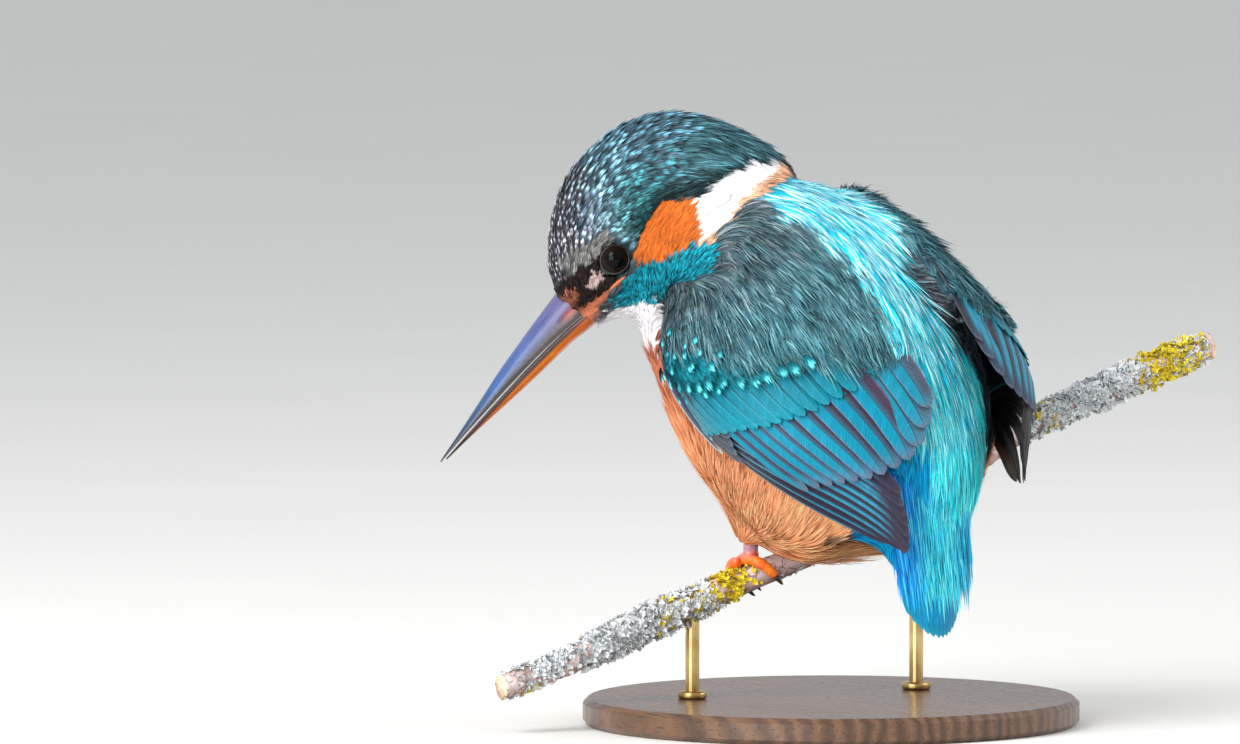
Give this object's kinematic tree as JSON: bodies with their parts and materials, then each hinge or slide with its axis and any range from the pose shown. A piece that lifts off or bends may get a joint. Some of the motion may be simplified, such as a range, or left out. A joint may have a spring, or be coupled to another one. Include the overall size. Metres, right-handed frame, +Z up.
{
  "type": "common kingfisher model on a perch",
  "caption": "Life-size still kingfisher with folded wings and turned, bowed head, gripping a lichened branch held over a round wooden base by short rods.",
  "frame": {"origin": "centre of the stand base's underside, on the floor", "axes": "+Z up; the bird's trunk faces -X and its left side is -Y; its head is turned 50 degrees to its left"},
  "size_m": [0.1017, 0.1424, 0.1133],
  "materials": {
    "crown_feathers": "dark blue-green feathers with pale turquoise spots",
    "neck_feathers": "white and orange feathers at the side of the neck",
    "breast_feathers": "soft salmon-orange breast, brilliant cyan back stripe",
    "tail_feathers": "azure tail feathers with pale streaks",
    "wing_feathers": "teal and turquoise vanes, dark violet-grey flight feather tips",
    "bill_dark": "horny, blackish with a steel-blue sheen",
    "bill_orange": "horny, orange with a dark tip",
    "eye": "polished black",
    "foot_skin": "scaly orange-red skin",
    "claw": "dark horn",
    "bark": "pale pinkish-grey bark with grey and yellow leafy lichen",
    "walnut": "satin, dark stained",
    "brass": "satin"
  },
  "bodies": {
    "root": {"head": "crown_feathers", "neck": "neck_feathers", "trunk": "breast_feathers", "tail": "tail_feathers", "wing_left_coverts": "wing_feathers", "wing_left_secondaries": "wing_feathers", "wing_left_primaries": "wing_feathers", "wing_right_coverts": "wing_feathers", "wing_right_secondaries": "wing_feathers", "wing_right_primaries": "wing_feathers", "bill_upper": "bill_dark", "bill_lower": "bill_orange", "eye_left": "eye", "eye_right": "eye", "leg_left": "foot_skin", "leg_right": "foot_skin", "foot_left": "foot_skin", "foot_right": "foot_skin", "claw_left_1": "claw", "claw_left_2": "claw", "claw_left_3": "claw", "claw_left_4": "claw", "claw_right_1": "claw", "claw_right_2": "claw", "claw_right_3": "claw", "claw_right_4": "claw", "perch": "bark", "stand_base": "walnut", "stand_rod_front": "brass", "stand_rod_back": "brass"}
  },
  "joints": []
}
